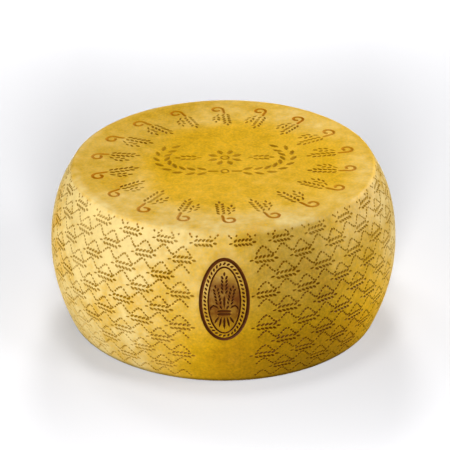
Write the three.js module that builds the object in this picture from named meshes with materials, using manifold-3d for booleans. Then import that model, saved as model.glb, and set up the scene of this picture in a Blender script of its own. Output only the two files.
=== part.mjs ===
// A whole wheel of hard, long-aged cow's milk cheese: one solid with flat faces, a bellied side,
// a drawn-in shoulder and foot, and the marks that stand out from a step away pressed or branded
// into its rind. The marks are plain ornament: stamps of wheat ears, a wreath with a rosette, and a
// sheaf in an oval. Millimetres, +Z up. The wheel lies on its lower face at z = 0, with its axis on the
// origin and the sheaf facing -Y.

import * as THREE from 'three';
import { mergeVertices } from 'three/addons/utils/BufferGeometryUtils.js';
import Module from 'manifold-3d';

// ---- Driving dimensions ----

const BELLY_RADIUS = 220; // the side at its widest
const HEIGHT = 205; // on the axis
const BELLY_HEIGHT = 94; // where the side is widest
const SHOULDER_INSET = 30; // how far the side has drawn in at the upper face
const SHOULDER_POWER = 2.5; // how late it does so
const FOOT_INSET = 23.5; // the same at the lower face
const FOOT_POWER = 1.8;
const EDGE_ROUNDING = 4; // radius of both edges
const TOP_TILT = 0.0101; // the upper face rises towards +X by this share of the way
const LUMPS = [ // uneven roundness: [waves round the wheel, depth, turn in radians, twist per mm]
  [2, 0.5, 0.6, 0.004],
  [4, 0.4, -1.1, 0.014],
  [6, 0.25, 2, 0.025],
];

const SEGMENTS = 88; // round the wheel
const SIDE_RINGS = 15;
const EDGE_RINGS = 3;

const PROUD = 0.6; // how far each cutter stands out of the rind
const FRONT = -Math.PI / 2; // the angle that faces -Y

const RING_STAMPS = 18; // in a ring on the upper face
const RING_RADIUS = 149; // where each stamp's stalk begins
const WREATH_CENTRE = [2, 14]; // on the upper face
const WREATH_STRAIGHT = 41; // of each arm, from its knot to its bend
const WREATH_BEND = 39; // the bend's radius
const BRAND_CENTRE = [1.5, 125]; // across from the front, and height
const BRAND_HALF = [29, 52.5]; // half its width and height

// ---- The wheel's form ----

// Radius of the side at a height, before the edges are rounded.
function sideRadius(z) {
  const above = z > BELLY_HEIGHT;
  const reach = above ? HEIGHT - BELLY_HEIGHT : BELLY_HEIGHT;
  const share = Math.abs(z - BELLY_HEIGHT) / reach;
  return BELLY_RADIUS - (above
    ? SHOULDER_INSET * share ** SHOULDER_POWER
    : FOOT_INSET * share ** FOOT_POWER);
}

// An edge's arc as [radius, depth below its face], from the flat face to the side. The side meets
// the face at edgeRadius, and widens by slope for each mm of depth.
function edgeArc(edgeRadius, slope) {
  const lean = Math.atan(slope); // of the side's normal, towards the face
  const centre = edgeRadius - EDGE_ROUNDING * (1 - Math.sin(lean)) / Math.cos(lean);
  return Array.from({ length: EDGE_RINGS + 1 }, (_, i) => {
    const a = THREE.MathUtils.lerp(Math.PI / 2, lean, i / EDGE_RINGS);
    return [centre + EDGE_ROUNDING * Math.cos(a), EDGE_ROUNDING * (1 - Math.sin(a))];
  });
}

// Half the section, from the axis at the bottom to the axis at the top.
function wheelProfile() {
  const foot = edgeArc(BELLY_RADIUS - FOOT_INSET, FOOT_INSET * FOOT_POWER / BELLY_HEIGHT);
  const shoulder = edgeArc(
    BELLY_RADIUS - SHOULDER_INSET,
    SHOULDER_INSET * SHOULDER_POWER / (HEIGHT - BELLY_HEIGHT),
  );
  const low = foot[EDGE_RINGS][1];
  const high = HEIGHT - shoulder[EDGE_RINGS][1];
  const side = Array.from({ length: SIDE_RINGS - 1 }, (_, i) => {
    const z = THREE.MathUtils.lerp(low, high, (i + 1) / SIDE_RINGS);
    return new THREE.Vector2(sideRadius(z), z);
  });
  return [
    new THREE.Vector2(0, 0),
    ...foot.map(([r, depth]) => new THREE.Vector2(r, depth)),
    ...side,
    ...shoulder.reverse().map(([r, depth]) => new THREE.Vector2(r, HEIGHT - depth)),
    new THREE.Vector2(0, HEIGHT),
  ];
}

// Where a point of the true round form lies on the uneven wheel.
function place(angle, radius, z) {
  const lump = LUMPS.reduce(
    (sum, [waves, depth, turn, twist]) => sum + depth * Math.sin(waves * angle + turn + twist * z),
    0,
  );
  const r = radius * (1 + lump / BELLY_RADIUS);
  const x = r * Math.cos(angle);
  return new THREE.Vector3(x, r * Math.sin(angle), z * (1 + TOP_TILT * x / HEIGHT));
}

function wheelGeometry() {
  const geometry = new THREE.LatheGeometry(wheelProfile(), SEGMENTS).rotateX(Math.PI / 2);
  const position = geometry.getAttribute('position');
  for (let i = 0; i < position.count; i++) {
    const p = new THREE.Vector3().fromBufferAttribute(position, i);
    const q = place(Math.atan2(p.y, p.x), Math.hypot(p.x, p.y), p.z);
    position.setXYZ(i, q.x, q.y, q.z);
  }
  return geometry;
}

// ---- Ways to lay a flat drawing on the rind: each gives a point and its outward normal ----

// The side's drawing has mm round the belly from the front, and height.
function onSide([across, height]) {
  const angle = FRONT + across / BELLY_RADIUS;
  const widening = (sideRadius(height + 0.5) - sideRadius(height - 0.5));
  const normal = new THREE.Vector3(Math.cos(angle), Math.sin(angle), -widening).normalize();
  return { point: place(angle, sideRadius(height), height), normal };
}

// The upper face's drawing has x and y.
function onTop([x, y]) {
  const point = place(Math.atan2(y, x), Math.hypot(x, y), HEIGHT);
  return { point, normal: new THREE.Vector3(-TOP_TILT, 0, 1).normalize() };
}

// ---- Strokes: each is {path, width, depth, closed}, drawn flat ----

// One wheat grain: a short stroke that tapers to both ends.
function grain([x, y], direction, length, width, depth) {
  const [dx, dy] = [Math.cos(direction) * length / 2, Math.sin(direction) * length / 2];
  return { path: [[x - dx, y - dy], [x, y], [x + dx, y + dy]], width, depth };
}

// A wheat ear along a curve: pairs of grains that lean out from it, and one at its tip.
// curve(t) gives [x, y] from the ear's base at t = 0 to its tip at t = 1.
function ear(curve, { pairs, length, width, depth, aside, spread }) {
  const strokes = [];
  for (let k = 0; k <= pairs; k++) {
    const t = (k + 0.5) / (pairs + 1);
    const [x, y] = curve(t);
    const [x2, y2] = curve(t + 0.01);
    const along = Math.atan2(y2 - y, x2 - x);
    if (k === pairs) {
      strokes.push(grain([x, y], along, length, width, depth));
      break;
    }
    for (const hand of [-1, 1]) {
      const out = along + hand * Math.PI / 2;
      const centre = [x + aside * Math.cos(out), y + aside * Math.sin(out)];
      strokes.push(grain(centre, along + hand * spread, length, width, depth));
    }
  }
  return strokes;
}

// Points along a curve, with both ends.
function trace(curve, steps) {
  return Array.from({ length: steps + 1 }, (_, i) => curve(i / steps));
}

// A drawing turned by an angle and then moved.
function moved(strokes, turn, [x, y]) {
  const [c, s] = [Math.cos(turn), Math.sin(turn)];
  return strokes.map((stroke) => ({
    ...stroke,
    path: stroke.path.map(([a, b]) => [x + c * a - s * b, y + s * a + c * b]),
  }));
}

// ---- The three drawings ----

// One stamp of the ring: a long and a short ear whose tips point to the middle of the face, and a
// stalk that ends in a curl near the rim.
function ringStamp() {
  const [stalk, curlRadius, curlTurns, tightening] = [11, 8.2, 0.95, 0.56];
  const curl = (t) => {
    const a = t * curlTurns * 2 * Math.PI;
    const r = curlRadius * (1 - tightening * t);
    return [stalk + r * Math.sin(a), curlRadius - r * Math.cos(a)];
  };
  return [
    { path: [[-4, -2], [2, -0.6], ...trace(curl, 7)], width: 4.6, depth: 1.7 },
    { path: [[-2, 4.8], [-6.5, 7.7], [-11.5, 9.6]], width: 2.9, depth: 1.4 },
    ...ear((t) => [-4 - 37 * t, -2.4 - 2 * t], {
      pairs: 4, length: 10, width: 3.7, depth: 1.5, aside: 3.6, spread: 0.5,
    }),
    ...ear((t) => [-11 - 20 * t, 9.8 + 1.6 * t], {
      pairs: 1, length: 9.5, width: 3.6, depth: 1.4, aside: 3.3, spread: 0.5,
    }),
  ];
}

// The middle of the upper face: two ears that part from a knot and bend round a rosette, which has
// a small ear to either side.
function wreath() {
  const arm = (hand) => (along) => {
    const a = Math.max(0, along - WREATH_STRAIGHT) / WREATH_BEND;
    const x = Math.min(along, WREATH_STRAIGHT) + WREATH_BEND * Math.sin(a);
    return [hand * x, -WREATH_BEND * Math.cos(a)];
  };
  const strokes = [];
  for (const hand of [-1, 1]) {
    const curve = arm(hand);
    strokes.push({ path: trace((t) => curve(7 + 16 * t), 4), width: 4, depth: 1.6 });
    strokes.push(...ear((t) => curve(22 + 126 * t), {
      pairs: 8, length: 17, width: 6, depth: 1.7, aside: 6.9, spread: 0.5,
    }));
    strokes.push({ path: trace((t) => [hand * (28 + 9 * t), 0], 2), width: 3, depth: 1.3 });
    strokes.push(...ear((t) => [hand * (36 + 27 * t), 0], {
      pairs: 3, length: 10.4, width: 4, depth: 1.4, aside: 4.2, spread: 0.5,
    }));
  }
  const petals = 8;
  for (let k = 0; k < petals; k++) {
    const a = (k + 0.5) * 2 * Math.PI / petals;
    strokes.push(grain([16 * Math.cos(a), 16 * Math.sin(a)], a, 16, 7.6, 1.7));
  }
  const loop = (radius, height, steps) => ({
    path: trace((t) => [
      radius * Math.cos(2 * Math.PI * t),
      height + radius * Math.sin(2 * Math.PI * t),
    ], steps).slice(0, -1),
    width: 2.8,
    depth: 1.2,
    closed: true,
  });
  return [...strokes, loop(5, 0, 10), loop(4.6, -WREATH_BEND, 10)];
}

// The brand on the side: a tied sheaf of three ears and two bent leaves, in a double oval.
function sheafBrand() {
  const oval = (inset, width, depth, steps) => {
    const line = trace((t) => [
      (BRAND_HALF[0] - inset) * Math.cos(2 * Math.PI * t),
      (BRAND_HALF[1] - inset) * Math.sin(2 * Math.PI * t),
    ], steps);
    return { path: line.slice(0, -1), width, depth, closed: true };
  };
  const strokes = [
    oval(0, 4.6, 2, 40),
    oval(9.4, 2.4, 1.5, 32),
    ...ear((t) => [0, 10 + 27 * t], {
      pairs: 4, length: 6.6, width: 2.9, depth: 1.7, aside: 2.7, spread: 0.5,
    }),
    { path: [[0, -10.7], [0, -1], [0, 9]], width: 2.9, depth: 1.7 },
    { path: [[0, -19.4], [0, -29], [0, -39]], width: 3, depth: 1.7 },
  ];
  for (const height of [-13, -17]) {
    strokes.push({ path: [-9, -6.7, 6.7, 9].map((x) => [x, height]), width: 3.2, depth: 1.9 });
  }
  for (const hand of [-1, 1]) {
    strokes.push(...ear((t) => [hand * (6.4 + 5 * t), -4 + 25 * t], {
      pairs: 4, length: 6.2, width: 2.7, depth: 1.7, aside: 2.5, spread: 0.5,
    }));
    for (const path of [
      [[2.7, -10.7], [4.2, -7.6], [6, -4.8]],
      [[6.4, -10.2], [9.4, -7], [13.4, -5.6], [16.4, -8.4], [17.2, -13.5]],
      [[3, -19.4], [4.8, -28], [6.5, -36]],
      [[6, -19.4], [9.3, -25.3], [12.6, -30.6]],
    ]) {
      strokes.push({ path: path.map(([x, y]) => [hand * x, y]), width: 2.8, depth: 1.7 });
    }
  }
  return strokes;
}

// ---- Cutting the strokes into the wheel ----

const { Manifold, Mesh } = await loadSolids();

async function loadSolids() {
  const wasm = await Module();
  wasm.setup();
  return wasm;
}

// A closed surface as a solid, with the points that its faces share made one.
function solidOf(geometry) {
  for (const name of ['normal', 'uv']) geometry.deleteAttribute(name);
  const merged = mergeVertices(geometry, 1e-3);
  return new Manifold(new Mesh({
    numProp: 3,
    vertProperties: merged.getAttribute('position').array,
    triVerts: new Uint32Array(merged.index.array),
  }));
}

// A stroke's cutter: a bar of V section that stands PROUD of the rind and ends in points.
// Each station of the path gives a left, a right and a bottom corner.
function cutter({ path, width, depth, closed = false }, surface) {
  const spots = path.map(surface);
  const last = spots.length - 1;
  const corners = spots.map(({ point, normal }, i) => {
    if (!closed && (i === 0 || i === last)) {
      return [point.clone().addScaledVector(normal, PROUD)];
    }
    const before = spots[(i + last) % (last + 1)].point;
    const after = spots[(i + 1) % (last + 1)].point;
    const aside = new THREE.Vector3().subVectors(after, before).cross(normal).normalize();
    const half = width / 2 * (depth + PROUD) / depth;
    const rim = point.clone().addScaledVector(normal, PROUD);
    return [
      rim.clone().addScaledVector(aside, -half),
      rim.clone().addScaledVector(aside, half),
      point.clone().addScaledVector(normal, -depth),
    ];
  });
  const firsts = [];
  corners.reduce((count, set) => (firsts.push(count), count + set.length), 0);
  const triangles = [];
  for (let i = 0; i <= last; i++) {
    if (!closed && i === last) break;
    const j = (i + 1) % (last + 1);
    for (let k = 0; k < 3; k++) {
      const [a, b] = [firsts[i] + k % corners[i].length, firsts[i] + (k + 1) % corners[i].length];
      const [c, d] = [firsts[j] + k % corners[j].length, firsts[j] + (k + 1) % corners[j].length];
      if (a !== b) triangles.push(a, b, d);
      if (c !== d) triangles.push(a, d, c);
    }
  }
  const geometry = new THREE.BufferGeometry().setFromPoints(corners.flat());
  return solidOf(geometry.setIndex(triangles));
}

function pressedWheel() {
  const drawings = [
    [onTop, moved(wreath(), 0, WREATH_CENTRE)],
    [onSide, moved(sheafBrand(), 0, BRAND_CENTRE)],
  ];
  for (let k = 0; k < RING_STAMPS; k++) {
    const turn = FRONT + 2 * Math.PI * k / RING_STAMPS;
    const stalk = [RING_RADIUS * Math.cos(turn), RING_RADIUS * Math.sin(turn)];
    drawings.push([onTop, moved(ringStamp(), turn, stalk)]);
  }
  const cutters = drawings.flatMap(([surface, strokes]) =>
    strokes.map((stroke) => cutter(stroke, surface)));
  const marks = cutters.reduce((sum, one) => sum.add(one));
  return solidOf(wheelGeometry()).subtract(marks);
}

// ---- The part ----

const rind = new THREE.MeshStandardMaterial({ color: 0xe2b852, roughness: 0.5, metalness: 0 });

function meshOf(solid, material, name) {
  const { vertProperties, triVerts, numProp } = solid.getMesh();
  const points = [];
  for (let i = 0; i < vertProperties.length; i += numProp) {
    points.push(new THREE.Vector3().fromArray(vertProperties, i));
  }
  const geometry = new THREE.BufferGeometry().setFromPoints(points);
  geometry.setIndex(new THREE.BufferAttribute(new Uint32Array(triVerts), 1));
  const mesh = new THREE.Mesh(geometry, material);
  mesh.name = name;
  return mesh;
}

const cheese = new THREE.Group();
cheese.add(meshOf(pressedWheel(), rind, 'wheel'));

export default cheese;
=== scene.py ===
import math

import bpy
import numpy as np
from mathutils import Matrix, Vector


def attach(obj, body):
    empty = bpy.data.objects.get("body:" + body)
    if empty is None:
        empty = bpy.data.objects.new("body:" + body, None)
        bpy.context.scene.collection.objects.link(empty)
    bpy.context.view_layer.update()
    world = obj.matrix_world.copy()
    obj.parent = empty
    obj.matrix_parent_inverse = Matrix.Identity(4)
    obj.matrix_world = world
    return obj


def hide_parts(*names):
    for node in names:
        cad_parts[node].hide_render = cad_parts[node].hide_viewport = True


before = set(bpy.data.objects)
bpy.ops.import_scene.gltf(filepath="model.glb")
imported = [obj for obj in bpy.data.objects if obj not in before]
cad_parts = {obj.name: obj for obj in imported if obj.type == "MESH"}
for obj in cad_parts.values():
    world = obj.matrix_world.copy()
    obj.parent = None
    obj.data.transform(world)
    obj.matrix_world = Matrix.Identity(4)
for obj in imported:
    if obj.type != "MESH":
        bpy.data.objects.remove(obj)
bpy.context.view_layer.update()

# A whole wheel of hard, long-aged cow's milk cheese, as it comes out of the ageing room: a golden
# drum with flat faces and a bellied side, whose rind carries pressed and branded ornament.


# ---- The wheel's form ----
# A drum of curd, pressed and turned in a mould, salted in brine and aged for a year or more. It is
# one piece, with a hard, smooth, faintly oily rind. The side bulges most a little below its middle,
# both edges are tight, and the upper face is a little out of level.

MM = 0.001  # the sizes below are in millimetres, and the meshes are in metres

BELLY_RADIUS = 220
HEIGHT = 205
BELLY_HEIGHT = 94
SHOULDER_INSET = 30
SHOULDER_POWER = 2.5
FOOT_INSET = 23.5
FOOT_POWER = 1.8
EDGE_ROUNDING = 4
TOP_TILT = 0.0101  # the upper face rises towards +X by this share of the way

WHEEL_SEGMENTS = 240
SIDE_RINGS = 34
EDGE_RINGS = 5
FACE_RINGS = 8

LUMP_DEPTH = 0.6  # of the wide rises and falls of the surface, and of the small ones
LUMP_SCALE = 5.0
DIMPLE_DEPTH = 0.15
DIMPLE_SCALE = 34.0
LEVEL_FOOT = 16  # they fade out over this height, so that the wheel lies flat
WELD = 0.01  # points closer than this are one


def add(tree, kind, *values, **settings):
    """A node with its settings, whose first sockets are set to values or joined to outputs."""
    made = tree.nodes.new(kind)
    for name, value in settings.items():
        setattr(made, name, value)
    for socket, value in zip([s for s in made.inputs if s.enabled], values):
        if isinstance(value, bpy.types.NodeSocket):
            tree.links.new(value, socket)
        elif value is not None:
            socket.default_value = value
    return next((s for s in made.outputs if s.enabled), made)


def sums(tree, operation, *values):
    return add(tree, "ShaderNodeMath", *values, operation=operation)


def vectors(tree, operation, *values):
    return add(tree, "ShaderNodeVectorMath", *values, operation=operation)


def shape_tree(name, **inputs):
    """A Geometry Nodes tree with a mesh going in and out, and inputs of these names and kinds."""
    tree = bpy.data.node_groups.new(name, "GeometryNodeTree")
    for title, kind in {"Geometry": "Geometry", **inputs}.items():
        tree.interface.new_socket(title, in_out="INPUT", socket_type=f"NodeSocket{kind}")
    tree.interface.new_socket("Geometry", in_out="OUTPUT", socket_type="NodeSocketGeometry")
    return tree, tree.nodes.new("NodeGroupInput").outputs


def end_tree(tree, shape, material):
    """The tree ends in real geometry with its material."""
    shape = add(tree, "GeometryNodeRealizeInstances", shape)
    add(tree, "NodeGroupOutput", add(tree, "GeometryNodeSetMaterial", shape, None, material))


def object_shape(tree, socket):
    """The mesh of an object that a tree is given."""
    return add(tree, "GeometryNodeObjectInfo", socket).node.outputs["Geometry"]


def shape_object(name, points, edges=(), faces=()):
    mesh = bpy.data.meshes.new(name)
    mesh.from_pydata([[MM * c for c in p] for p in points], list(edges), list(faces))
    made = bpy.data.objects.new(name, mesh)
    bpy.context.scene.collection.objects.link(made)
    return made


def chain_object(name, line):
    """A line of (radius, height) as a chain of edges in the XZ plane."""
    points = [(r, 0, z) for r, z in line]
    return shape_object(name, points, edges=[(i, i + 1) for i in range(len(points) - 1)])


def run_tree(made, tree, **inputs):
    """Gives an object the plain mesh that a tree makes of it."""
    modifier = made.modifiers.new(tree.name, "NODES")
    modifier.node_group = tree
    for item in tree.interface.items_tree:
        if item.in_out == "INPUT" and item.name in inputs:
            modifier[item.identifier] = inputs[item.name]
    graph = bpy.context.evaluated_depsgraph_get()
    mesh = bpy.data.meshes.new_from_object(made.evaluated_get(graph), depsgraph=graph)
    made.modifiers.clear()
    made.data = mesh
    return made


def side_radius(z):
    """The side's radius at a height, before the edges are rounded."""
    above = z > BELLY_HEIGHT
    share = abs(z - BELLY_HEIGHT) / (HEIGHT - BELLY_HEIGHT if above else BELLY_HEIGHT)
    inset = SHOULDER_INSET * share**SHOULDER_POWER if above else FOOT_INSET * share**FOOT_POWER
    return BELLY_RADIUS - inset


def edge_arc(edge_radius, slope):
    """An edge's arc as (radius, depth below its face), from the flat face to the side."""
    lean = math.atan(slope)
    centre = edge_radius - EDGE_ROUNDING * (1 - math.sin(lean)) / math.cos(lean)
    return [
        (centre + EDGE_ROUNDING * math.cos(a), EDGE_ROUNDING * (1 - math.sin(a)))
        for a in np.linspace(math.pi / 2, lean, EDGE_RINGS + 1)
    ]


foot_arc = edge_arc(BELLY_RADIUS - FOOT_INSET, FOOT_INSET * FOOT_POWER / BELLY_HEIGHT)
shoulder_arc = edge_arc(
    BELLY_RADIUS - SHOULDER_INSET, SHOULDER_INSET * SHOULDER_POWER / (HEIGHT - BELLY_HEIGHT)
)
side_heights = np.linspace(foot_arc[-1][1], HEIGHT - shoulder_arc[-1][1], SIDE_RINGS + 1)
side_line = [(side_radius(z), z) for z in side_heights]
face_shares = np.sin(np.linspace(0, math.pi / 2, FACE_RINGS + 1))[:-1]  # closer near the edge
profile = [
    *[(share * foot_arc[0][0], 0) for share in face_shares],
    *foot_arc[:-1],
    *side_line,
    *[(r, HEIGHT - depth) for r, depth in shoulder_arc[-2::-1]],
    *[(share * shoulder_arc[0][0], HEIGHT) for share in face_shares[::-1]],
]


def tilted(tree, position, given):
    """A point of the true round form, moved as the upper face tilts."""
    parts = add(tree, "ShaderNodeSeparateXYZ", position).node.outputs
    rise = sums(tree, "MULTIPLY", parts["X"], given["Top Tilt"])
    lift = sums(tree, "DIVIDE", rise, given["Height"])
    z = sums(tree, "MULTIPLY", parts["Z"], sums(tree, "ADD", lift, 1))
    return add(tree, "ShaderNodeCombineXYZ", parts["X"], parts["Y"], z)


def uneven(tree, position, depth, scale):
    """Rises and falls of the surface, up to a depth either way."""
    ripple = add(tree, "ShaderNodeTexNoise", position, scale, 2, 0.5)
    ripple = sums(tree, "SUBTRACT", ripple, 0.5)
    return sums(tree, "MULTIPLY", ripple, sums(tree, "MULTIPLY", depth, 4))


tree, given = shape_tree(
    "turned_wheel",
    **{
        "Profile Points": "Int", "Segments": "Int", "Height": "Float", "Top Tilt": "Float",
        "Lump Depth": "Float", "Lump Scale": "Float", "Dimple Depth": "Float",
        "Dimple Scale": "Float", "Level Foot": "Float", "Material": "Material",
    },
)
index = add(tree, "GeometryNodeInputIndex")
here = add(tree, "GeometryNodeInputPosition")
row = sums(tree, "MODULO", index, given["Profile Points"])
column = sums(tree, "DIVIDE", sums(tree, "ADD", index, 0.5), given["Profile Points"])
column = sums(tree, "FLOOR", column)
columns = sums(tree, "ADD", given["Segments"], 1)
grid = add(tree, "GeometryNodeMeshGrid", 1, 1, columns, given["Profile Points"])
at_row = add(
    tree, "GeometryNodeSampleIndex", given["Geometry"], here, row, data_type="FLOAT_VECTOR"
)
angle = sums(tree, "DIVIDE", sums(tree, "MULTIPLY", column, math.tau), given["Segments"])
turned = add(tree, "ShaderNodeVectorRotate", at_row, (0, 0, 0), (0, 0, 1), angle)
shape = add(tree, "GeometryNodeSetPosition", grid, None, tilted(tree, turned, given))
shape = add(tree, "GeometryNodeMergeByDistance", shape, None, WELD * MM)
height = add(tree, "ShaderNodeSeparateXYZ", here).node.outputs["Z"]
above_foot = add(
    tree, "ShaderNodeMapRange", height, 0, given["Level Foot"], 0, 1,
    interpolation_type="SMOOTHSTEP",
)
rise = sums(
    tree, "ADD",
    uneven(tree, here, given["Lump Depth"], given["Lump Scale"]),
    uneven(tree, here, given["Dimple Depth"], given["Dimple Scale"]),
)
push = vectors(
    tree, "SCALE", add(tree, "GeometryNodeInputNormal"), sums(tree, "MULTIPLY", rise, above_foot)
)
shape = add(tree, "GeometryNodeSetPosition", shape, None, None, push)
shape = add(tree, "GeometryNodeSetShadeSmooth", shape)
shape = add(
    tree, "GeometryNodeStoreNamedAttribute", shape, None, "rind_normal",
    add(tree, "GeometryNodeInputNormal"), data_type="FLOAT_VECTOR", domain="POINT",
)
end_tree(tree, shape, given["Material"])

rind = bpy.data.materials.new("aged_rind")

wheel = run_tree(
    chain_object("cheese_wheel", profile), tree,
    **{
        "Profile Points": len(profile), "Segments": WHEEL_SEGMENTS, "Height": HEIGHT * MM,
        "Top Tilt": TOP_TILT,
        "Lump Depth": LUMP_DEPTH * MM, "Lump Scale": LUMP_SCALE,
        "Dimple Depth": DIMPLE_DEPTH * MM, "Dimple Scale": DIMPLE_SCALE,
        "Level Foot": LEVEL_FOOT * MM, "Material": rind,
    },
)


# ---- The marks in the rind ----
# The mould is lined with pins and dies that press ornament into the young curd, and a hot iron
# brands the finished wheel. Every stroke is a shallow cut of V section. Each mark is drawn flat
# and laid on the wheel: rows of wheat sprigs between pricked waves round its side, a ring of
# curled ears and a wreath on its upper face, and a sheaf in an oval at the front of its side.

PROUD = 0.2  # how far a die stands out of the rind


def stroke(path, width, depth, closed=False):
    """A stroke of a die: stations of a left, a right and a bottom corner, or a point at an end."""
    line = np.array(path, float)
    count = len(line)
    reach = width / 2 * (depth + PROUD) / depth
    stations = []
    for i, (x, y) in enumerate(line):
        if not closed and i in (0, count - 1):
            stations.append([(x, y, PROUD)])
            continue
        along = line[(i + 1) % count] - line[i - 1]
        aside = np.array([along[1], -along[0]]) / np.hypot(*along) * reach
        stations.append([(*(line[i] - aside), PROUD), (*(line[i] + aside), PROUD), (x, y, -depth)])
    if closed:
        stations.append(stations[0])
    return stations


def die(name, strokes):
    """An object that holds the strokes of one mark as closed solids, drawn flat."""
    points, faces = [], []
    for stations in strokes:
        firsts = []
        for i, corners in enumerate(stations):
            again = i > 0 and corners is stations[0]
            firsts.append(firsts[0] if again else len(points))
            points += [] if again else corners
        for near, far, first, second in zip(stations, stations[1:], firsts, firsts[1:]):
            for k in range(3):
                a, b = (first + c % len(near) for c in (k, (k + 1) % 3))
                c, d = (second + c % len(far) for c in (k, (k + 1) % 3))
                faces.append(list(dict.fromkeys([a, b, d, c])))
    return shape_object(name, points, faces=faces)


def grain(middle, direction, length, width, depth, stations=(-0.5, -0.2, 0.18, 0.5)):
    """A short stroke that tapers to both ends."""
    along = length * np.array([math.cos(direction), math.sin(direction)])
    return stroke([np.array(middle) + along * share for share in stations], width, depth)


def ear(curve, pairs, length, width, depth, aside, spread):
    """Pairs of grains that lean out from a curve, and one at its tip."""
    strokes = []
    for k in range(pairs + 1):
        share = (k + 0.5) / (pairs + 1)
        spot = np.array(curve(share))
        ahead = np.array(curve(share + 0.01)) - spot
        along = math.atan2(ahead[1], ahead[0])
        if k == pairs:
            strokes.append(grain(spot, along, length, width, depth))
            break
        for hand in (-1, 1):
            out = along + hand * math.pi / 2
            middle = spot + aside * np.array([math.cos(out), math.sin(out)])
            strokes.append(grain(middle, along + hand * spread, length, width, depth))
    return strokes


def trace(curve, steps):
    return [curve(i / steps) for i in range(steps + 1)]


def spots_object(name, spots):
    """Places for a mark on its flat drawing, each an (x, y) and how far the mark is turned."""
    made = shape_object(name, [(x, y, 0) for x, y, turn in spots])
    turns = made.data.attributes.new("turn", "FLOAT", "POINT")
    turns.data.foreach_set("value", [turn for x, y, turn in spots])
    return made


# A mark is repeated at its places, and then laid on the wheel: the drawing's heights become
# distances out from the rind. Round the side, it has mm round the belly from the front, and mm up
# the side line from the foot. On the upper face, it has x and y.
tree, given = shape_tree(
    "laid_marks",
    **{
        "Mark": "Object", "Wheel": "Object", "Side Line": "Object", "Round The Side": "Bool",
        "Belly Radius": "Float", "Height": "Float", "Top Tilt": "Float",
        "Turn Spread": "Float", "Size Spread": "Float", "Seed": "Int", "Material": "Material",
    },
)
here = add(tree, "GeometryNodeInputPosition")
turn = add(tree, "GeometryNodeInputNamedAttribute", "turn", data_type="FLOAT")
stray = sums(
    tree, "MULTIPLY", given["Turn Spread"],
    add(tree, "FunctionNodeRandomValue", -1, 1, None, given["Seed"], data_type="FLOAT"),
)
size_seed = sums(tree, "ADD", given["Seed"], 1)
size = sums(
    tree, "MULTIPLY_ADD", given["Size Spread"],
    add(tree, "FunctionNodeRandomValue", -1, 1, None, size_seed, data_type="FLOAT"),
    1,
)
shape = add(
    tree, "GeometryNodeInstanceOnPoints", given["Geometry"], None,
    object_shape(tree, given["Mark"]), None, None,
    add(tree, "ShaderNodeCombineXYZ", 0, 0, sums(tree, "ADD", turn, stray)),
    add(tree, "ShaderNodeCombineXYZ", size, size, 1),
)
shape = add(tree, "GeometryNodeRealizeInstances", shape)
drawn = add(tree, "ShaderNodeSeparateXYZ", here).node.outputs
side_point = add(
    tree, "GeometryNodeSampleCurve",
    add(tree, "GeometryNodeMeshToCurve", object_shape(tree, given["Side Line"])),
    None, drawn["Y"], None, mode="LENGTH",
).node.outputs["Position"]
angle = sums(tree, "SUBTRACT", sums(tree, "DIVIDE", drawn["X"], given["Belly Radius"]), math.pi / 2)
side_point = add(tree, "ShaderNodeVectorRotate", side_point, (0, 0, 0), (0, 0, 1), angle)
top_point = add(tree, "ShaderNodeCombineXYZ", drawn["X"], drawn["Y"], given["Height"])
nominal = add(
    tree, "GeometryNodeSwitch", given["Round The Side"], top_point, side_point, input_type="VECTOR"
)
nominal = tilted(tree, nominal, given)
wheel_shape = object_shape(tree, given["Wheel"])
normal = add(tree, "GeometryNodeInputNamedAttribute", "rind_normal", data_type="FLOAT_VECTOR")
foot_of, way_out = (
    add(
        tree, "GeometryNodeSampleNearestSurface", wheel_shape, value, None, nominal,
        data_type="FLOAT_VECTOR",
    )
    for value in (here, normal)
)
laid = vectors(tree, "ADD", foot_of, vectors(tree, "SCALE", way_out, drawn["Z"]))
shape = add(tree, "GeometryNodeSetPosition", shape, None, laid)
end_tree(tree, shape, given["Material"])
laid_marks = tree

side_chain = chain_object("side_line", side_line)
side_length = sum(math.dist(a, b) for a, b in zip(side_line, side_line[1:]))


def laid(name, mark, spots, round_side, turn_spread=0.0, size_spread=0.0, seed=1):
    """The solids of a mark that is laid on the wheel at its places."""
    made = run_tree(
        spots_object(name, spots), laid_marks,
        **{
            "Mark": mark, "Wheel": wheel, "Side Line": side_chain, "Round The Side": round_side,
            "Belly Radius": BELLY_RADIUS * MM, "Height": HEIGHT * MM, "Top Tilt": TOP_TILT,
            "Turn Spread": turn_spread, "Size Spread": size_spread, "Seed": seed, "Material": rind,
        },
    )
    bpy.data.objects.remove(mark)
    return made


# The sprigs: a stalk and a small ear, which lie one after another in rows, half a step apart from
# row to row. The lower rows stop either side of the brand.
ROWS = 9
FIRST_ROW = 13  # below the shoulder, along the side
ROW_STEP = 21.9
SPRIGS_ROUND = 26
BARE_SPRIGS = 45  # to either side of the front

pitch = math.tau * BELLY_RADIUS / SPRIGS_ROUND
row_heights = [side_length - FIRST_ROW - ROW_STEP * k for k in range(ROWS)]
sprig_spots = [
    ((n + (0.5 if k % 2 == 0 else 0)) * pitch, height, 0)
    for k, height in enumerate(row_heights)
    for n in range(-SPRIGS_ROUND // 2, SPRIGS_ROUND // 2)
]
sprig_spots = [
    (x, y, turn) for x, y, turn in sprig_spots if y == row_heights[0] or abs(x) > BARE_SPRIGS
]
sprig_die = die("sprig_die", [
    stroke([(-20, -1.3), (-18, -0.6), (-15.5, -0.2), (-13.2, 0)], width=2.5, depth=1.2),
    *ear(lambda t: (-12.5 + 31 * t, 0.8 * math.sin(math.pi * t)), 5, 7.5, 3.3, 1.3, 2.9, 0.5),
])
sprigs = laid("sprigs", sprig_die, sprig_spots, True, math.radians(1.5), 0.04, 3)

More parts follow.
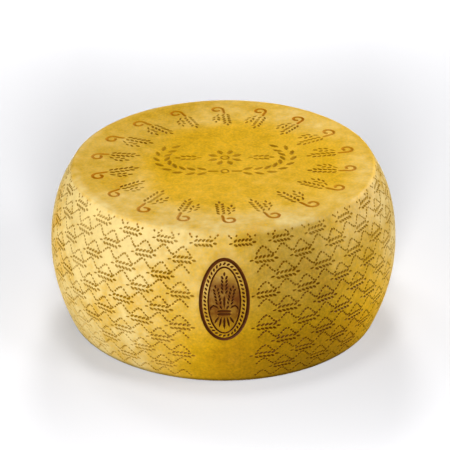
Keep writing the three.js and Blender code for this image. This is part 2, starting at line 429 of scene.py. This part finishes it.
# The pricked waves between the rows, with ticks over the first row and part of one below the last.
WAVE_SWING = 5.0
PRICK_STEP = 4.1
BARE_PRICKS = 42
TICKS_FROM, TICKS_TO = 6.6, 2.5  # below the shoulder
wave_length = pitch / 2


def wave_spots(middle, lowest, highest):
    """Places along a wave round the wheel, where it is within a band and off the bare patch."""
    spots = []
    x = -math.pi * BELLY_RADIUS + PRICK_STEP / 2
    while x < math.pi * BELLY_RADIUS - PRICK_STEP / 2:
        phase = math.tau * x / wave_length
        y = middle + WAVE_SWING * math.cos(phase)
        slope = -WAVE_SWING * math.tau / wave_length * math.sin(phase)
        if lowest < y < highest and (abs(x) > BARE_PRICKS or y > row_heights[0]):
            spots.append((x, y, math.atan(slope)))
        x += PRICK_STEP / math.hypot(1, slope)
    return spots


prick_spots = wave_spots(
    row_heights[0] + ROW_STEP / 2, side_length - TICKS_FROM, side_length - TICKS_TO
)
for height in row_heights:
    prick_spots += wave_spots(height - ROW_STEP / 2, 4, side_length)
prick_die = die("prick_die", [grain((0, 0), 0, 3.7, 3.0, 1.0, (-0.5, -0.3, 0.3, 0.5))])
pricks = laid("pricks", prick_die, prick_spots, True, math.radians(6), 0.08, 5)

# The ring of stamps: each is a long and a short ear with their tips towards the middle, and their
# stalk ends in a curl.
RING_STAMPS = 18
RING_RADIUS = 149
CURL_RADIUS = 8.2
CURL_TURNS = 0.95
CURL_TIGHTENING = 0.56  # the share of its radius that a curl has lost at its end
CURL_START = 11  # out along the stalk
ring_turns = [-math.pi / 2 + math.tau * k / RING_STAMPS for k in range(RING_STAMPS)]


def curl(t):
    turn = t * CURL_TURNS * math.tau
    radius = CURL_RADIUS * (1 - CURL_TIGHTENING * t)
    return CURL_START + radius * math.sin(turn), CURL_RADIUS - radius * math.cos(turn)


ring_die = die("ring_die", [
    stroke([(-4, -2), (0, -1), (5, -0.2), *trace(curl, 14)], 4.6, 1.7),
    stroke([(-2, 4.8), (-5.5, 7.2), (-8.5, 8.8), (-11.5, 9.6)], 2.9, 1.4),
    *ear(lambda t: (-4 - 37 * t, -2.4 - 2 * t), 5, 8.8, 3.7, 1.5, 3.5, 0.55),
    *ear(lambda t: (-11 - 20 * t, 9.8 + 1.6 * t), 2, 8.4, 3.5, 1.4, 3.3, 0.55),
])
ring_spots = [(RING_RADIUS * math.cos(a), RING_RADIUS * math.sin(a), a) for a in ring_turns]
ring = laid("ring", ring_die, ring_spots, False, math.radians(3), 0.04, 7)

# The wreath: two ears that part from a knot and bend round a rosette with a small ear each side.
WREATH_CENTRE = (2, 14)
WREATH_STRAIGHT = 41
WREATH_BEND = 39


def wreath_arm(hand):
    """A wreath's arm from its knot, straight and then round a bend, in mm along it."""
    def curve(along):
        turn = max(0, along - WREATH_STRAIGHT) / WREATH_BEND
        x = min(along, WREATH_STRAIGHT) + WREATH_BEND * math.sin(turn)
        return hand * x, -WREATH_BEND * math.cos(turn)
    return curve


def loop(height, radius, width, steps=20):
    turns = np.linspace(0, math.tau, steps, endpoint=False)
    path = [(radius * math.cos(a), height + radius * math.sin(a)) for a in turns]
    return stroke(path, width, 1.2, closed=True)


wreath_strokes = [loop(0, 5, 2.8), loop(-WREATH_BEND, 4.6, 2.8)]
for hand in (-1, 1):
    arm = wreath_arm(hand)
    wreath_strokes.append(stroke(trace(lambda t: arm(7 + 16 * t), 6), 4, 1.6))
    wreath_strokes += ear(lambda t: arm(22 + 126 * t), 8, 17, 6, 1.7, 6.9, 0.5)
    wreath_strokes.append(stroke([(hand * x, 0) for x in (28, 31, 34, 37)], 3, 1.3))
    wreath_strokes += ear(lambda t: (hand * (36 + 27 * t), 0), 3, 10.4, 4, 1.4, 4.2, 0.5)
PETALS = 8
for k in range(PETALS):
    turn = (k + 0.5) * math.tau / PETALS
    spot = (16 * math.cos(turn), 16 * math.sin(turn))
    wreath_strokes.append(grain(spot, turn, 16, 7.6, 1.7, (-0.5, -0.1, 0.2, 0.5)))
wreath = laid("wreath", die("wreath_die", wreath_strokes), [(*WREATH_CENTRE, 0)], False)

# The brand: a tied sheaf in a double oval, with a twisted cord between the two lines.
BRAND_ACROSS = 1.5
BRAND_UP = 125.5  # along the side from the foot
BRAND_HALF = (29, 52.5)
FIELD_INSET = 9.4
CORD_TWISTS = 44
CORD_INSET = 5.2
CORD_LEAN = 0.75  # of each twist, from the way along the cord


def on_oval(inset, turn):
    return (BRAND_HALF[0] - inset) * math.cos(turn), (BRAND_HALF[1] - inset) * math.sin(turn)


def oval(inset, width, depth, steps):
    turns = np.linspace(0, math.tau, steps, endpoint=False)
    return stroke([on_oval(inset, turn) for turn in turns], width, depth, closed=True)


def even_turns(inset, count):
    """Turns round an oval whose points lie evenly far apart."""
    fine = np.linspace(0, math.tau, 721)
    line = np.array([on_oval(inset, turn) for turn in fine])
    gone = np.concatenate([[0], np.cumsum(np.hypot(*np.diff(line, axis=0).T))])
    return np.interp(np.arange(count) / count * gone[-1], gone, fine)


brand_strokes = [
    oval(0, 4.6, 2.0, 64),
    oval(FIELD_INSET, 2.4, 1.5, 56),
    *ear(lambda t: (0, 10 + 27 * t), 5, 6.2, 2.8, 1.7, 2.7, 0.5),
    *[stroke([(x, y) for x in (-9, -6.7, 6.7, 9)], 3.2, 1.9) for y in (-13, -17)],
    stroke([(0, -10.7), (0, -4), (0, 3), (0, 9)], 2.9, 1.7),
    stroke([(0, -19.4), (0, -26), (0, -33), (0, -39)], 3.0, 1.7),
]
for turn in even_turns(CORD_INSET, CORD_TWISTS):
    spot, ahead = on_oval(CORD_INSET, turn), on_oval(CORD_INSET, turn + 0.01)
    along = math.atan2(ahead[1] - spot[1], ahead[0] - spot[0])
    brand_strokes.append(grain(spot, along + CORD_LEAN, 6.0, 2.7, 1.4))
for hand in (-1, 1):
    brand_strokes += ear(
        lambda t: (hand * (6.4 + 5 * t), -4 + 25 * t), 5, 5.8, 2.6, 1.7, 2.5, 0.5
    )
    for path in (
        [(2.7, -10.7), (3.6, -8.6), (4.7, -6.7), (6, -4.8)],
        [(6.4, -10.2), (9.4, -7), (13.4, -5.6), (16.4, -8.4), (17.2, -13.5)],
        [(3, -19.4), (4.2, -25), (5.4, -31), (6.5, -36)],
        [(6, -19.4), (8.2, -23.4), (10.4, -27.2), (12.6, -30.6)],
    ):
        brand_strokes.append(stroke([(hand * x, y) for x, y in path], 2.8, 1.7))
brand = laid("brand", die("brand_die", brand_strokes), [(BRAND_ACROSS, BRAND_UP, 0)], True)

# The wheel with all its marks pressed in. Each point's depth below the rind is kept for its
# colour, and the rind keeps the shading of the whole wheel right up to each mark's edge.
tree, given = shape_tree(
    "pressed_wheel",
    **{
        "Sprigs": "Object", "Pricks": "Object", "Ring": "Object", "Wreath": "Object",
        "Brand": "Object", "Material": "Material",
    },
)
whole = given["Geometry"]
cut = add(tree, "GeometryNodeMeshBoolean", whole, solver="MANIFOLD", operation="DIFFERENCE")
for name in ("Sprigs", "Pricks", "Ring", "Wreath", "Brand"):
    tree.links.new(object_shape(tree, given[name]), cut.node.inputs["Mesh 2"])
shape = add(tree, "GeometryNodeTriangulate", cut)
below = add(tree, "GeometryNodeProximity", whole, target_element="FACES").node.outputs["Distance"]
shape = add(
    tree, "GeometryNodeStoreNamedAttribute", shape, None, "pressed", below,
    data_type="FLOAT", domain="POINT",
)
pressed = add(tree, "GeometryNodeInputNamedAttribute", "pressed", data_type="FLOAT")
pressed_face = add(
    tree, "GeometryNodeFieldOnDomain", pressed, data_type="FLOAT", domain="FACE"
)
in_mark = sums(tree, "GREATER_THAN", pressed_face, 0.02 * MM)
rind_normal = add(
    tree, "GeometryNodeSampleNearestSurface", whole,
    add(tree, "GeometryNodeInputNamedAttribute", "rind_normal", data_type="FLOAT_VECTOR"),
    data_type="FLOAT_VECTOR",
)
face_normal = add(
    tree, "GeometryNodeFieldOnDomain", add(tree, "GeometryNodeInputNormal"),
    data_type="FLOAT_VECTOR", domain="FACE",
)
corner_normal = add(
    tree, "GeometryNodeSwitch", in_mark, rind_normal, face_normal, input_type="VECTOR"
)
shape = add(tree, "GeometryNodeSetShadeSmooth", shape)
shape = add(
    tree, "GeometryNodeSetMeshNormal", shape, corner_normal, mode="TANGENT_SPACE", domain="CORNER"
)
end_tree(tree, shape, given["Material"])
run_tree(
    wheel, tree, Sprigs=sprigs, Pricks=pricks, Ring=ring, Wreath=wreath, Brand=brand,
    Material=rind,
)
for finished in (sprigs, pricks, ring, wreath, brand, side_chain):
    bpy.data.objects.remove(finished)

# The rind's finish. Its tone runs from cream through gold to a deep olive gold: palest on one side
# and round the shoulder, deepest low in front of the other side and in the middle of the upper
# face, and clouded and mottled by age. Where the tone follows the side, the height and the edges,
# it is partly the rind's own colour and partly painted light and shade: paler on the left and along
# the shoulder as painted highlight, deeper low down, at the front right and at the back left of the
# upper face as painted shade. The strokes are darker, the more so where the tone is deep, and those
# of the brand are scorched.
TONES = {
    0.0: (0.81, 0.605, 0.225), 0.25: (0.80, 0.535, 0.135), 0.45: (0.79, 0.49, 0.07),
    0.67: (0.76, 0.435, 0.022), 0.83: (0.72, 0.40, 0.006), 1.0: (0.66, 0.34, 0.003),
}
AMBER = (0.78, 0.36, 0.03)
LIGHT_STROKE = (0.35, 0.185, 0.001)
DEEP_STROKE = (0.205, 0.068, 0.001)
GILT_STROKE = (0.34, 0.165, 0.005)
RUST = (0.50, 0.19, 0.002)
SCORCHED = (0.125, 0.034, 0.006)
SINGED = (0.36, 0.155, 0.005)
TOASTED = (0.19, 0.055, 0.004)
# The side where the tone is deepest, partly as painted shade.
DEEP_AND_SHADED_SIDE = math.radians(-66)  # round from +X
EDGE_TOP, EDGE_BOTTOM = 2, 7  # the side's finish gives way to the face's between these depths


def grade(tree, value, low, high, smooth=True):
    """0 at low to 1 at high, or the other way round where low is the greater."""
    kind = "SMOOTHSTEP" if smooth else "LINEAR"
    return add(tree, "ShaderNodeMapRange", value, low, high, 0, 1, interpolation_type=kind)


def blend(tree, share, first, second):
    return add(tree, "ShaderNodeMix", share, first, second, data_type="RGBA", clamp_factor=True)


def noise(tree, place, scale, detail=3, rough=0.55):
    return add(tree, "ShaderNodeTexNoise", place, scale, detail, rough)


def swing(tree, value, reach):
    """A noise's value as a rise or fall round nothing."""
    return sums(tree, "MULTIPLY", sums(tree, "SUBTRACT", value, 0.5), reach)


rind.use_nodes = True
tree = rind.node_tree
tree.nodes.clear()
place = add(tree, "ShaderNodeTexCoord").node.outputs["Object"]
parts = add(tree, "ShaderNodeSeparateXYZ", place).node.outputs
x, y, z = parts["X"], parts["Y"], parts["Z"]
flat = add(tree, "ShaderNodeCombineXYZ", x, y, 0)
radius = vectors(tree, "LENGTH", flat).node.outputs["Value"]
face_height = sums(tree, "SUBTRACT", z, sums(tree, "MULTIPLY", x, TOP_TILT))
on_top = grade(tree, face_height, (HEIGHT - EDGE_BOTTOM) * MM, (HEIGHT - EDGE_TOP) * MM)
clouds = noise(tree, place, 7, 3)
patches = noise(tree, place, 22, 4)
mottles = noise(tree, place, 75, 4)
specks = noise(tree, place, 320, 3)
streaks = noise(tree, vectors(tree, "MULTIPLY", place, (6, 6, 90)), 3, 3)

# How deep the tone is, from 0 to 1. On the side it deepens towards the front right and low down,
# partly as the rind's own tone and partly as painted shade.
deep_way = (math.cos(DEEP_AND_SHADED_SIDE), math.sin(DEEP_AND_SHADED_SIDE), 0)
round_way = vectors(tree, "DOT_PRODUCT", vectors(tree, "NORMALIZE", flat), deep_way)
round_way = round_way.node.outputs["Value"]
side_depth_and_shade = sums(
    tree, "MULTIPLY", grade(tree, round_way, 0.5, 1.0),
    add(tree, "ShaderNodeMapRange", z, 0.05, 0.17, 0.88, 0.42),
)
side_depth_and_shade = sums(tree, "ADD", side_depth_and_shade, sums(tree, "MULTIPLY", grade(tree, z, 0.13, 0.03), 0.2))
off_middle = vectors(tree, "SUBTRACT", flat, (0.025, -0.015, 0))
off_middle = vectors(tree, "LENGTH", off_middle).node.outputs["Value"]
off_middle = sums(tree, "ADD", off_middle, swing(tree, clouds, 0.10))
centre_depth = grade(tree, off_middle, 0.155, 0.095)
# On the upper face the tone is deepest in the middle, and it deepens towards the back left as
# painted shade.
across = vectors(tree, "DOT_PRODUCT", flat, (-0.85, 0.75, 0)).node.outputs["Value"]
top_depth_and_shade = sums(
    tree, "ADD", sums(tree, "MULTIPLY", centre_depth, 0.4), sums(tree, "ADD", across, 0.37)
)
# The back of the upper face is deeper and darker at its left, as painted shade, and paler at its
# right, as painted light.
back_left_shade = sums(tree, "MULTIPLY", grade(tree, y, 0.10, 0.14), grade(tree, x, -0.02, -0.07))
back_right_light = sums(tree, "MULTIPLY", grade(tree, y, 0.07, 0.11), grade(tree, x, 0.05, 0.09))
top_depth_and_shade = sums(tree, "MULTIPLY_ADD", back_left_shade, 0.12, top_depth_and_shade)
top_depth_and_shade = sums(tree, "MULTIPLY_ADD", back_right_light, -0.1, top_depth_and_shade)
depth = add(tree, "ShaderNodeMapRange", on_top, 0, 1, side_depth_and_shade, top_depth_and_shade)
# Painted shade: the tone deepens high on the right edge of the side.
right_edge_shade = sums(
    tree, "MULTIPLY", grade(tree, z, 0.10, 0.15),
    grade(tree, sums(tree, "MULTIPLY_ADD", on_top, 0.05, x), 0.14, 0.19),
)
depth = sums(tree, "ADD", depth, sums(tree, "MULTIPLY", right_edge_shade, 0.2))
# A paler band round the shoulder: partly rubbed wear and partly painted highlight, strongest on the
# left, where it turns on the right into deeper tone as painted shade.
shoulder = sums(
    tree, "MULTIPLY", grade(tree, face_height, (HEIGHT - 26) * MM, (HEIGHT - 10) * MM),
    grade(tree, radius, (BELLY_RADIUS - 42) * MM, (BELLY_RADIUS - 32) * MM),
)
shoulder = sums(tree, "MULTIPLY", shoulder, add(tree, "ShaderNodeMapRange", x, -0.1, 0.13, 1, -0.4))
depth = sums(tree, "SUBTRACT", depth, sums(tree, "MULTIPLY", shoulder, 0.2))
right_front = sums(
    tree, "MULTIPLY", grade(tree, round_way, 0.93, 0.995), sums(tree, "SUBTRACT", 1, on_top)
)
unevenness = sums(
    tree, "MULTIPLY", add(tree, "ShaderNodeMapRange", depth, 0.2, 0.7, 1.4, 0.4),
    add(tree, "ShaderNodeMapRange", right_front, 0, 1, 1, 0.5),
)
for field, reach in ((clouds, 0.7), (patches, 0.8), (mottles, 0.7), (specks, 0.45), (streaks, 0.2)):
    depth = sums(tree, "MULTIPLY_ADD", swing(tree, field, reach), unevenness, depth)
tone = add(tree, "ShaderNodeValToRGB", depth)
stops = tone.node.color_ramp.elements
for place_along, shade in TONES.items():
    stop = next((s for s in stops if s.position == place_along), None) or stops.new(place_along)
    stop.color = shade + (1,)
ambered = sums(tree, "MULTIPLY", grade(tree, patches, 0.55, 0.72), grade(tree, clouds, 0.45, 0.6))
colour = blend(tree, sums(tree, "MULTIPLY", ambered, 0.3), tone, AMBER + (1,))

# Painted light and shade in the rind's lightness: darker to the right of the brand and at the back
# of the upper face as painted shade, and lighter at the left edge and low on the right as painted
# light.
painted_shade = sums(
    tree, "MULTIPLY", grade(tree, round_way, 0.93, 0.995),
    add(tree, "ShaderNodeMapRange", z, 0.05, 0.12, 0.02, 0.19),
)
painted_light = sums(
    tree, "MULTIPLY_ADD", grade(tree, x, 0.13, 0.18),
    add(tree, "ShaderNodeMapRange", z, 0.05, 0.15, 0.3, -0.2),
    sums(tree, "MULTIPLY", grade(tree, x, -0.185, -0.21), 0.12),
)
painted_side_light = sums(tree, "SUBTRACT", painted_light, painted_shade)
painted_top_light = sums(tree, "MULTIPLY_ADD", grade(tree, across, 0.04, 0.16), -0.1, -0.02)
painted_top_light = sums(tree, "MULTIPLY_ADD", back_left_shade, -0.06, painted_top_light)
lightness = add(tree, "ShaderNodeMapRange", on_top, 0, 1, painted_side_light, painted_top_light)
# The shoulder's band is also lighter: partly wear, partly painted highlight.
lightness = sums(tree, "ADD", lightness, sums(tree, "MULTIPLY_ADD", shoulder, 0.08, 1))
for field, reach in ((clouds, -0.12), (patches, -0.3), (mottles, -0.35)):
    lightness = sums(tree, "ADD", lightness, swing(tree, field, reach))
speckle = add(tree, "ShaderNodeMapRange", depth, 0.1, 0.8, 0.2, 0.9)
lightness = sums(tree, "ADD", lightness, swing(tree, specks, speckle))
# Painted shade: a dark band along the foot, over the lowest few millimetres.
painted_foot_shade = grade(tree, z, 8 * MM, 1 * MM)
lightness = sums(tree, "SUBTRACT", lightness, sums(tree, "MULTIPLY", painted_foot_shade, 0.6))
colour = vectors(tree, "SCALE", colour, lightness)

# The brand's burn: scorched strokes, a singed halo round them and a toasted band across the field.
side_gone = np.cumsum([0, *(math.dist(a, b) for a, b in zip(side_line, side_line[1:]))])
brand_z = float(np.interp(BRAND_UP, side_gone, side_heights))
from_brand = vectors(tree, "SUBTRACT", place, (BRAND_ACROSS * MM, 0, brand_z * MM))
from_brand = vectors(
    tree, "MULTIPLY", from_brand, (1 / (BRAND_HALF[0] * MM), 0, 1 / (BRAND_HALF[1] * MM))
)
brand_share = vectors(tree, "LENGTH", from_brand).node.outputs["Value"]
in_front = grade(tree, y, -0.1, -0.15)
burnt = sums(tree, "MULTIPLY", grade(tree, brand_share, 1.2, 1.1), in_front)
halo = sums(
    tree, "MULTIPLY", in_front,
    grade(tree, sums(tree, "ADD", brand_share, swing(tree, patches, 0.6)), 1.25, 0.85),
)
singed = sums(tree, "MULTIPLY", halo, sums(tree, "ADD", swing(tree, mottles, 0.8), 0.4))
colour = blend(tree, singed, colour, SINGED + (1,))
wider, taller = (half / (half - FIELD_INSET) for half in BRAND_HALF)
field_share = vectors(tree, "MULTIPLY", from_brand, (wider, 1, taller))
field_share = vectors(tree, "LENGTH", field_share).node.outputs["Value"]
up_field = sums(tree, "ABSOLUTE", add(tree, "ShaderNodeSeparateXYZ", from_brand).node.outputs["Z"])
toasted = sums(
    tree, "MULTIPLY", grade(tree, field_share, 1.0, 0.93),
    grade(tree, sums(tree, "ADD", up_field, swing(tree, patches, 0.3)), 0.75, 0.3),
)
toasted = sums(tree, "MULTIPLY", toasted, sums(tree, "ADD", swing(tree, mottles, 1.2), 0.85))
toasted = sums(tree, "MULTIPLY", toasted, in_front)
colour = blend(tree, toasted, colour, TOASTED + (1,))

# Inside the cuts the colour turns darker, in patches, and more so where the tone, with its painted
# shade, is deep.
pressed = add(tree, "ShaderNodeAttribute", attribute_name="pressed").node.outputs["Fac"]
in_mark = grade(tree, pressed, 0, 0.3 * MM, smooth=False)
# The strokes are lighter towards the far right of the side and darker towards its far left.
far_right = sums(tree, "MULTIPLY", grade(tree, x, 0.12, 0.2), 0.35)
stroke_depth = sums(tree, "SUBTRACT", depth, far_right)
stroke_colour = blend(
    tree, grade(tree, stroke_depth, 0.25, 0.8), LIGHT_STROKE + (1,), DEEP_STROKE + (1,)
)
for shade, low, high in ((GILT_STROKE, 0.1, 0.09), (RUST, 0.142, 0.152)):
    share = sums(tree, "MULTIPLY", on_top, grade(tree, radius, low, high))
    stroke_colour = blend(tree, share, stroke_colour, shade + (1,))
far_left = sums(tree, "MULTIPLY", grade(tree, x, -0.1, -0.2), sums(tree, "SUBTRACT", 1, on_top))
stroke_colour = vectors(
    tree, "SCALE", stroke_colour, add(tree, "ShaderNodeMapRange", far_left, 0, 1, 1, 0.85)
)
stroke_colour = blend(tree, burnt, stroke_colour, SCORCHED + (1,))
stroke_darkening = sums(tree, "ADD", swing(tree, patches, 0.9), 0.85)
stroke_darkening = sums(tree, "ADD", swing(tree, clouds, 1.4), stroke_darkening)
stroke_darkening = sums(tree, "ADD", stroke_darkening, sums(tree, "MULTIPLY", burnt, 0.5))
colour = blend(tree, sums(tree, "MULTIPLY", in_mark, stroke_darkening), colour, stroke_colour)

bump_noise = sums(tree, "ADD", mottles, sums(tree, "MULTIPLY", specks, 0.25))
bump = add(tree, "ShaderNodeBump", 0.35, 0.6 * MM, None, bump_noise)
surface = add(tree, "ShaderNodeBsdfPrincipled").node
surface.inputs["Roughness"].default_value = 0.42
surface.inputs["Specular IOR Level"].default_value = 0.09
tree.links.new(colour, surface.inputs["Base Color"])
tree.links.new(bump, surface.inputs["Normal"])
add(tree, "ShaderNodeOutputMaterial", surface.outputs["BSDF"])

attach(wheel, "root")
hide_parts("wheel")


# ---- The room ----
# A plain pale floor, which the wheel sees as a darker one. Soft lamps stand low round the wheel,
# with the strongest at the front left, and others hang over it.
BACKDROP = (0.309, 0.308, 0.315)
BACKDROP_LIT = (0.11, 0.11, 0.11)
BACKDROP_MIRRORED = (0.02, 0.02, 0.02)

FLOOR_REACH = 6000
corners = [(-1, -1), (1, -1), (1, 1), (-1, 1)]
floor = shape_object(
    "floor", [(FLOOR_REACH * a, FLOOR_REACH * b, 0) for a, b in corners], faces=[(0, 1, 2, 3)]
)
paper = bpy.data.materials.new("pale_paper")
paper.use_nodes = True
tree = paper.node_tree
rays = add(tree, "ShaderNodeLightPath").node.outputs
paper_colour = blend(tree, rays["Is Diffuse Ray"], BACKDROP_MIRRORED + (1,), BACKDROP_LIT + (1,))
paper_colour = blend(tree, rays["Is Camera Ray"], paper_colour, BACKDROP + (1,))
tree.links.new(paper_colour, tree.nodes["Principled BSDF"].inputs["Base Color"])
tree.nodes["Principled BSDF"].inputs["Roughness"].default_value = 0.9
tree.nodes["Principled BSDF"].inputs["Specular IOR Level"].default_value = 0
floor.data.materials.append(paper)


LAMP_DISTANCE = 2.0  # from a point a little above the floor, in metres
LAMP_AIM = 0.1


def soft_lamp(name, azimuth, elevation, power, lit, size=1.2, glossy=True):
    """A round softbox, in degrees round from the front towards +X and up, that lights one piece."""
    lamp = bpy.data.lights.new(name, "AREA")
    lamp.shape = "DISK"
    lamp.size = size
    lamp.energy = power
    made = bpy.data.objects.new(name, lamp)
    bpy.context.scene.collection.objects.link(made)
    turn, rise = math.radians(azimuth), math.radians(elevation)
    away = Vector(
        (math.sin(turn) * math.cos(rise), -math.cos(turn) * math.cos(rise), math.sin(rise))
    )
    made.location = LAMP_DISTANCE * away + Vector((0, 0, LAMP_AIM))
    made.location.z = max(made.location.z, 0.02 + lamp.size / 2 * math.cos(rise))
    made.rotation_euler = away.to_track_quat("Z", "Y").to_euler()
    made.visible_camera = False
    made.visible_glossy = glossy
    receivers = bpy.data.collections.new(name + "_lights")
    receivers.objects.link(lit)
    made.light_linking.receiver_collection = receivers


soft_lamp("key_lamp", -60, 12, 32, wheel)
soft_lamp("front_lamp", 0, 12, 10.7, wheel)
soft_lamp("right_lamp", 110, 12, 30, wheel)
soft_lamp("high_lamp", 90, 60, 16, wheel, glossy=False)
soft_lamp("high_back_lamp", 175, 60, 10, wheel, glossy=False)
soft_lamp("back_lamp", 180, 12, 15, wheel, glossy=False)
soft_lamp("floor_front_lamp", 0, 8, 310, floor, 0.5)
soft_lamp("floor_back_lamp", 180, 8, 60, floor, 0.5)
soft_lamp("floor_high_back_lamp", 180, 35, 36, floor, 0.5)
soft_lamp("floor_back_left_lamp", -150, 50, 14, floor, 0.5)
soft_lamp("floor_right_lamp", 60, 50, 13, floor, 0.5)
soft_lamp("floor_top_lamp", 0, 89, 18, floor, 0.5)

world = bpy.data.worlds.new("dim_room")
bpy.context.scene.world = world
world.use_nodes = True
world.node_tree.nodes["Background"].inputs["Color"].default_value = (1, 1, 1, 1)
world.node_tree.nodes["Background"].inputs["Strength"].default_value = 0.02

# The camera looks down on the wheel from far off, with the brand facing it.
VIEW_DISTANCE = 16 * BELLY_RADIUS * MM
VIEW_ELEVATION = math.radians(27.16)
VIEW_AIM = Vector((2.2, 0, 116)) * MM
VIEW_LENS = 220.4

camera = bpy.data.objects.new("camera", bpy.data.cameras.new("camera"))
camera.data.lens = VIEW_LENS
camera.location = VIEW_AIM + VIEW_DISTANCE * Vector(
    (0, -math.cos(VIEW_ELEVATION), math.sin(VIEW_ELEVATION))
)
camera.rotation_euler = (math.pi / 2 - VIEW_ELEVATION, 0, 0)
bpy.context.scene.collection.objects.link(camera)
bpy.context.scene.camera = camera
bpy.context.scene.view_settings.view_transform = "Standard"
